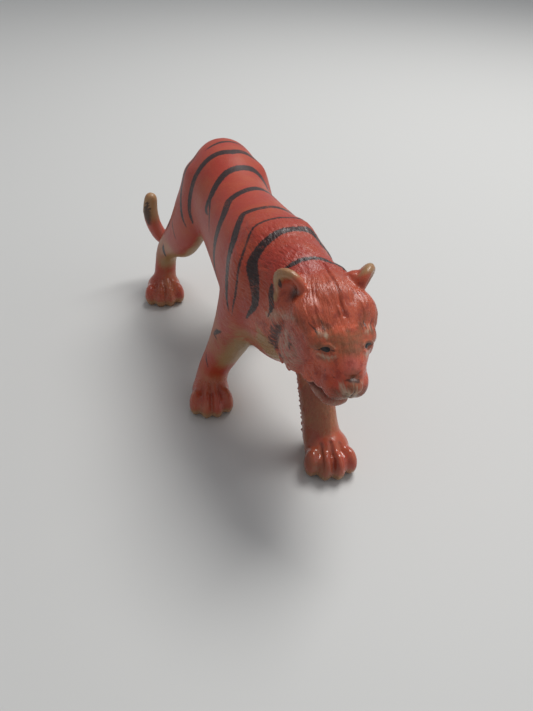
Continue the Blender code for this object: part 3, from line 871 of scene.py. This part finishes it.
def paint_maps(mesh):
    """Writes on the skin where each paint lies, and how the hairs run."""
    points = points_of(mesh)
    _, y, z = points.T
    local = into(points, HEAD)
    half = folded(local)
    muzzle = np.linalg.norm((local - (0, -15, -2)) / (6.5, 7, 7), axis=1)
    mark(mesh, "black", stripes_of(points))
    mark(mesh, "nose_lines", on_face(local, NOSE_DARK))
    tail_dark = inside_strokes(points, TAIL_DARK, 1)
    mark(mesh, "dashes", np.maximum(on_face(local, CHEEK_DASHES), tail_dark))
    mark(mesh, "bare", bare_plastic(points, normals_of(mesh), local))
    mark(mesh, "cream", on_face(local, FACE_CREAM))
    mark(mesh, "olive", on_face(local, FACE_OLIVE))
    mark(mesh, "pink", pinkish(points, local))
    ruff = 1 - np.linalg.norm((half - (-10.0, -3.5, -6.0)) / (5.5, 9.5, 9.5), axis=1)
    mark(mesh, "wash", np.clip(ruff * 1.8, 0, 1))
    # Painted shade in the mouth, on the jaw and lips, in the ears' hollows, along the parting and
    # in the toes' creases
    mark(mesh, "hollow_shade", painted_shade_in_hollows(points, local, muzzle))

    eye = (half - EYE) @ np.array(EYE_AXES).T
    spot = np.hypot(eye[:, 0] / EYE_SPOT[0], eye[:, 1] / EYE_SPOT[1])
    mark(mesh, "eye", 1 - spot - np.abs(eye[:, 2]) / 6)
    body_hair, face_hair, on_head, depth = fur_paths(mesh)
    mark(mesh, "body_hair", body_hair)
    mark(mesh, "face_hair", face_hair)
    mark(mesh, "on_head", on_head)
    # Lighter face paint, partly painted highlight, held back on the muzzle as painted shade
    mark(mesh, "lighter", on_head * (0.25 + 0.75 * blurred_step(muzzle, 0.7, 1.3)))
    mark(mesh, "depth", depth)
    matt = 0.48 - 0.12 * blurred_step(-y, 5, 25) - 0.2 * blurred_step(-z, -14, -8)
    nose = 1 - np.linalg.norm((local - (0, -18.0, 3.0)) / (4.0, 4.0, 4.0), axis=1)
    mark(mesh, "matt", matt - 0.09 * on_head + 0.3 * np.clip(nose * 2, 0, 1))


class Finish:
    """Puts the nodes of one material together."""

    def __init__(self, name):
        self.material = bpy.data.materials.new(name)
        self.material.use_nodes = True
        self.tree = self.material.node_tree
        self.shader = self.tree.nodes["Principled BSDF"]

    def feed(self, socket, value):
        if isinstance(value, bpy.types.NodeSocket):
            self.tree.links.new(value, socket)
        else:
            socket.default_value = value

    def map_of(self, name, vector=False):
        node = self.tree.nodes.new("ShaderNodeAttribute")
        node.attribute_name = name
        return node.outputs["Vector" if vector else "Fac"]

    def place(self):
        """Object coordinates in millimetres."""
        node = self.tree.nodes.new("ShaderNodeTexCoord")
        grow = self.tree.nodes.new("ShaderNodeVectorMath")
        grow.operation = "SCALE"
        grow.inputs["Scale"].default_value = 1 / MM
        self.tree.links.new(node.outputs["Object"], grow.inputs[0])
        return grow.outputs[0]

    def grain(self, where, scale, detail=2.0, roughness=0.5):
        node = self.tree.nodes.new("ShaderNodeTexNoise")
        self.feed(node.inputs["Vector"], where)
        node.inputs["Scale"].default_value = scale
        node.inputs["Detail"].default_value = detail
        node.inputs["Roughness"].default_value = roughness
        return node.outputs["Fac"]

    def combed(self, scale, detail):
        """Grain drawn out along the fur."""
        body = self.grain(self.map_of("body_hair", True), scale, detail, 0.6)
        face = self.grain(self.map_of("face_hair", True), scale, detail, 0.6)
        apart = self.calc("SUBTRACT", face, body)
        return self.calc("MULTIPLY_ADD", apart, self.map_of("on_head"), body)

    def calc(self, operation, a, b, c=None):
        node = self.tree.nodes.new("ShaderNodeMath")
        node.operation = operation
        for socket, value in zip(node.inputs, (a, b, c)):
            if value is not None:
                self.feed(socket, value)
        return node.outputs[0]

    def rough_edge(self, inside, *wobbles):
        """inside, its edge moved by each grain times its reach."""
        for grain, reach in wobbles:
            away = self.calc("SUBTRACT", grain, 0.5)
            inside = self.calc("MULTIPLY_ADD", away, reach, inside)
        return inside

    def between(self, value, low, high, top=1.0):
        node = self.tree.nodes.new("ShaderNodeMapRange")
        node.interpolation_type = "SMOOTHSTEP"
        self.feed(node.inputs["Value"], value)
        node.inputs["From Min"].default_value = low
        node.inputs["From Max"].default_value = high
        node.inputs["To Max"].default_value = top
        return node.outputs["Result"]

    def blend(self, share, a, b):
        node = self.tree.nodes.new("ShaderNodeMix")
        node.data_type = "RGBA"
        self.feed(node.inputs["Factor"], share)
        self.feed(node.inputs["A"], a)
        self.feed(node.inputs["B"], b)
        return node.outputs["Result"]


# Paints and the bare plastic
ORANGE_RED = (0.50, 0.038, 0.018, 1)
ORANGE = (0.55, 0.082, 0.022, 1)
PINK = (0.60, 0.13, 0.095, 1)
DEEP_RED = (0.30, 0.03, 0.018, 1)
# The face's own paint, made lighter as painted highlight
FACE_PAINT_AND_HIGHLIGHT = (0.62, 0.115, 0.052, 1)
BARE = (0.47, 0.29, 0.13, 1)
CREAM = (0.58, 0.46, 0.33, 1)
OLIVE = (0.17, 0.085, 0.036, 1)
# Brown for painted shade, in the hollows and between the hairs
SHADE_BROWN = (0.10, 0.028, 0.018, 1)
BLACK = (0.008, 0.006, 0.007, 1)


def painted_vinyl():
    finish = Finish("painted_vinyl")
    place = finish.place()
    streaks = finish.combed(1.0, 3.0)
    fine_streaks = finish.combed(2.6, 2.0)
    cloud = finish.grain(place, 0.12, 3.0, 0.55)
    speck = finish.grain(place, 1.6, 3.0, 0.6)
    fine_cloud = finish.grain(place, 0.45, 4.0, 0.6)

    # Sprayed reds, mottled on the face, and painted shade in brown between the carved hairs
    colour = finish.blend(finish.between(cloud, 0.3, 0.8), ORANGE_RED, ORANGE)
    # The face's lighter paint is partly painted highlight; the muzzle gets less of it, as painted
    # shade
    colour = finish.blend(finish.map_of("lighter"), colour, FACE_PAINT_AND_HIGHLIGHT)
    colour = finish.blend(finish.map_of("pink"), colour, PINK)
    mottled = finish.between(fine_cloud, 0.48, 0.66, 0.6)
    mottled = finish.calc("MULTIPLY", mottled, finish.map_of("on_head"))
    colour = finish.blend(mottled, colour, DEEP_RED)
    # Painted shade: brown darkening in the grooves between the hairs
    shade = finish.calc("SUBTRACT", 1.0, finish.between(streaks, 0.3, 0.5, 1.0))
    shade = finish.calc("MULTIPLY", shade, finish.map_of("depth"))
    colour = finish.blend(finish.calc("MULTIPLY", shade, 0.16), colour, SHADE_BROWN)

    # Bare plastic and the pale and olive washes, combed along the fur
    bare = finish.rough_edge(finish.map_of("bare"), (cloud, 0.5), (speck, 0.2), (streaks, 0.4))
    colour = finish.blend(finish.between(bare, 0.15, 0.95), colour, BARE)
    wobbles = (streaks, 3.0), (cloud, 1.0), (fine_cloud, 3.0)
    olive = finish.rough_edge(finish.map_of("olive"), *wobbles)
    colour = finish.blend(finish.between(olive, -1.9, 2.2, 0.76), colour, OLIVE)
    wash = finish.calc("MULTIPLY_ADD", finish.map_of("wash"), 0.27, fine_streaks)
    colour = finish.blend(finish.between(wash, 0.68, 0.86, 0.62), colour, CREAM)
    dashes = finish.rough_edge(finish.map_of("dashes"), (fine_streaks, 5.0))
    colour = finish.blend(finish.between(dashes, -0.1, 0.5, 0.85), colour, BLACK)
    cream = finish.rough_edge(finish.map_of("cream"), (streaks, 3.5), (speck, 1.4))
    colour = finish.blend(finish.between(cream, -0.9, 1.1, 0.66), colour, CREAM)
    # Painted shade in the hollows
    colour = finish.blend(finish.map_of("hollow_shade"), colour, SHADE_BROWN)

    # Brushed stripes, worn thin in places, the lines of the nose and the eyes
    black = finish.rough_edge(finish.map_of("black"), (fine_streaks, 1.1), (speck, 0.35))
    worn = finish.between(finish.calc("ADD", fine_streaks, cloud), 1.06, 1.3, 0.55)
    inked = finish.calc("SUBTRACT", finish.between(black, -0.2, 0.2, 0.95), worn)
    inked = finish.calc("MAXIMUM", inked, 0.0)
    colour = finish.blend(inked, colour, BLACK)
    nose_lines = finish.rough_edge(finish.map_of("nose_lines"), (speck, 0.2))
    colour = finish.blend(finish.between(nose_lines, -0.12, 0.08, 0.8), colour, BLACK)
    eye = finish.between(finish.map_of("eye"), -0.08, 0.05)
    colour = finish.blend(eye, colour, BLACK)
    finish.feed(finish.shader.inputs["Base Color"], colour)

    # Sheen of the paint, its fine hairs, and a thin glossy coat
    uneven = finish.calc("SUBTRACT", speck, 0.5)
    gloss = finish.calc("MULTIPLY_ADD", uneven, 0.25, finish.map_of("matt"))
    gloss = finish.calc("MULTIPLY_ADD", eye, 0.15, gloss)
    finish.feed(finish.shader.inputs["Roughness"], gloss)
    height = finish.calc("MULTIPLY", fine_streaks, finish.map_of("depth"))
    height = finish.calc("MULTIPLY_ADD", speck, 0.12, height)
    bump = finish.tree.nodes.new("ShaderNodeBump")
    bump.inputs["Strength"].default_value = 0.8
    bump.inputs["Distance"].default_value = 0.3 * MM
    finish.feed(bump.inputs["Height"], height)
    finish.feed(finish.shader.inputs["Normal"], bump.outputs["Normal"])
    finish.shader.inputs["Specular IOR Level"].default_value = 0.4
    finish.shader.inputs["Coat Weight"].default_value = 0.2
    finish.shader.inputs["Coat Roughness"].default_value = 0.24
    finish.shader.inputs["Subsurface Weight"].default_value = 0.06
    finish.shader.inputs["Subsurface Scale"].default_value = 0.8 * MM
    return finish.material


# Longest edges beside the stripes, and beside the eyes and the lines of the nose
STRIPE_EDGE = 0.75
EYE_EDGE = 0.3

# Cleaning: how close two points are taken as one, how thin a sliver is, and fewer faces than
# which make a loose bit
SAME_POINT = 0.01
SLIVER = 0.004
LOOSE_BIT = 500


def refined(mesh):
    """More points where the paint is fine, so that no stripe breaks up."""
    work = bmesh.new()
    work.from_mesh(mesh)
    for _ in range(2):
        places = np.array([vert.co for vert in work.verts])
        local = into(places, HEAD)
        longest = np.where(np.abs(stripes_of(places)) < 1.4, STRIPE_EDGE, 9.0)
        by_eye = np.linalg.norm(folded(local) - EYE, axis=1) < 2.2
        longest[by_eye | (on_face(local, NOSE_DARK) > -0.6)] = EYE_EDGE
        long_edges = [
            edge
            for edge in work.edges
            if edge.calc_length() > min(longest[vert.index] for vert in edge.verts)
        ]
        bmesh.ops.subdivide_edges(work, edges=long_edges, cuts=1, use_grid_fill=False)
        bmesh.ops.triangulate(work, faces=[face for face in work.faces if len(face.verts) > 3])
        work.verts.index_update()
    work.to_mesh(mesh)
    work.free()
    return mesh


def islands_of(work):
    """The faces in groups that hang together."""
    islands = []
    for face in work.faces:
        face.tag = False
    for start in work.faces:
        if start.tag:
            continue
        start.tag = True
        island = [start]
        for face in island:
            for edge in face.edges:
                beside = [other for other in edge.link_faces if not other.tag]
                for other in beside:
                    other.tag = True
                island.extend(beside)
        islands.append(island)
    return islands


def cleaned(mesh):
    """The skin without slivers, doubled faces or loose bits, and closed again."""
    work = bmesh.new()
    work.from_mesh(mesh)
    for _ in range(2):
        bmesh.ops.remove_doubles(work, verts=work.verts[:], dist=SAME_POINT)
        bmesh.ops.dissolve_degenerate(work, edges=work.edges[:], dist=SLIVER)
        bmesh.ops.triangulate(work, faces=[face for face in work.faces if len(face.verts) > 3])
        work.verts.index_update()
        alike = {}
        for face in work.faces:
            alike.setdefault(frozenset(vert.index for vert in face.verts), []).append(face)
        doubled = [face for faces in alike.values() if len(faces) > 1 for face in faces]
        bmesh.ops.delete(work, geom=doubled, context="FACES")
        for island in islands_of(work):
            if len(island) < LOOSE_BIT:
                bmesh.ops.delete(work, geom=island, context="FACES")
        rims = [edge for edge in work.edges if edge.is_boundary]
        filled = bmesh.ops.holes_fill(work, edges=rims, sides=0)["faces"]
        bmesh.ops.triangulate(work, faces=filled)
    work.to_mesh(mesh)
    work.free()
    return mesh


def make_tiger():
    skin = tiger_mesh()
    carve_head(skin)
    carve_paws(skin)
    carve_fur(skin)
    raise_seam(skin)
    points = points_of(skin)
    points[:, 2] = np.maximum(points[:, 2], 0)
    put_points(skin, points)
    skin = cleaned(refined(cleaned(thinned(skin))))
    paint_maps(skin)
    put_points(skin, (points_of(skin) + SLIDE) * MM)
    skin.materials.append(painted_vinyl())
    tiger = bpy.data.objects.new("tiger_skin", skin)
    bpy.context.scene.collection.objects.link(tiger)
    bpy.ops.object.select_all(action="DESELECT")
    bpy.context.view_layer.objects.active = tiger
    tiger.select_set(True)
    bpy.ops.object.shade_smooth()
    return tiger


# Camera: where it stands over the origin, and how far it is turned, tipped and rolled
CAMERA_PLACE = Vector((-0.0442, -0.14823, 0.130))
CAMERA_YAW = math.radians(20.5)
CAMERA_TIP = math.radians(39.08)
CAMERA_ROLL = math.radians(2.4)
CAMERA_LENS = 28.354


def make_camera():
    camera = bpy.data.objects.new("camera", bpy.data.cameras.new("camera"))
    bpy.context.scene.collection.objects.link(camera)
    camera.data.sensor_width = 36
    camera.data.lens = CAMERA_LENS
    camera.data.clip_start = 0.005
    looking = Vector(
        (
            math.sin(CAMERA_YAW) * math.cos(CAMERA_TIP),
            math.cos(CAMERA_YAW) * math.cos(CAMERA_TIP),
            -math.sin(CAMERA_TIP),
        )
    )
    level = Vector((math.cos(CAMERA_YAW), -math.sin(CAMERA_YAW), 0))
    upright = level.cross(looking)
    right = level * math.cos(CAMERA_ROLL) + upright * math.sin(CAMERA_ROLL)
    top = upright * math.cos(CAMERA_ROLL) - level * math.sin(CAMERA_ROLL)
    camera.matrix_world = Matrix.Translation(CAMERA_PLACE) @ Matrix(
        (right, top, -looking)
    ).transposed().to_4x4()
    bpy.context.scene.camera = camera


# Lamps: place, size, power and colour. The air's light is weaker than the backdrop looks.
LAMPS = {
    "window": ((0.40, 0.24, 0.82), (0.45, 0.45), 6.6, (1.0, 0.99, 0.97)),
    "front_fill": ((0.7, -0.5, 0.5), (0.8, 0.8), 0.85, (0.97, 0.98, 1.0)),
}
AIR_COLOUR = (0.75, 0.77, 0.8, 1)
AIR_LIGHT = 0.39
BACKDROP_LIGHT = 0.95
FLOOR_SIZE = 6
FLOOR_COLOUR = (0.62, 0.62, 0.61, 1)


def soft_lamp(name, place, size, watts, colour):
    lamp = bpy.data.lights.new(name, "AREA")
    lamp.shape = "RECTANGLE"
    lamp.size, lamp.size_y = size
    lamp.energy = watts
    lamp.color = colour
    obj = bpy.data.objects.new(name, lamp)
    bpy.context.scene.collection.objects.link(obj)
    obj.location = place
    obj.rotation_mode = "QUATERNION"
    obj.rotation_quaternion = (Vector((0, 0, 0.03)) - Vector(place)).to_track_quat("-Z", "Y")


def make_floor():
    bpy.ops.object.select_all(action="DESELECT")
    bpy.ops.mesh.primitive_plane_add(size=FLOOR_SIZE, location=(0, 0, 0))
    floor = bpy.context.active_object
    floor.name = "floor"
    material = bpy.data.materials.new("pale_floor")
    material.use_nodes = True
    shader = material.node_tree.nodes["Principled BSDF"]
    shader.inputs["Base Color"].default_value = FLOOR_COLOUR
    shader.inputs["Roughness"].default_value = 0.6
    floor.data.materials.append(material)


def make_studio():
    make_floor()
    for name, lamp in LAMPS.items():
        soft_lamp(name, *lamp)
    world = bpy.data.worlds.new("studio")
    bpy.context.scene.world = world
    world.use_nodes = True
    tree = world.node_tree
    air = tree.nodes["Background"]
    air.inputs["Color"].default_value = AIR_COLOUR
    seen = tree.nodes.new("ShaderNodeLightPath")
    strength = tree.nodes.new("ShaderNodeMapRange")
    strength.inputs["To Min"].default_value = AIR_LIGHT
    strength.inputs["To Max"].default_value = BACKDROP_LIGHT
    tree.links.new(seen.outputs["Is Camera Ray"], strength.inputs["Value"])
    tree.links.new(strength.outputs["Result"], air.inputs["Strength"])


tiger = make_tiger()
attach(tiger, "root")
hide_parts("tiger_figurine")
make_camera()
make_studio()

bpy.context.scene.view_settings.view_transform = "Standard"
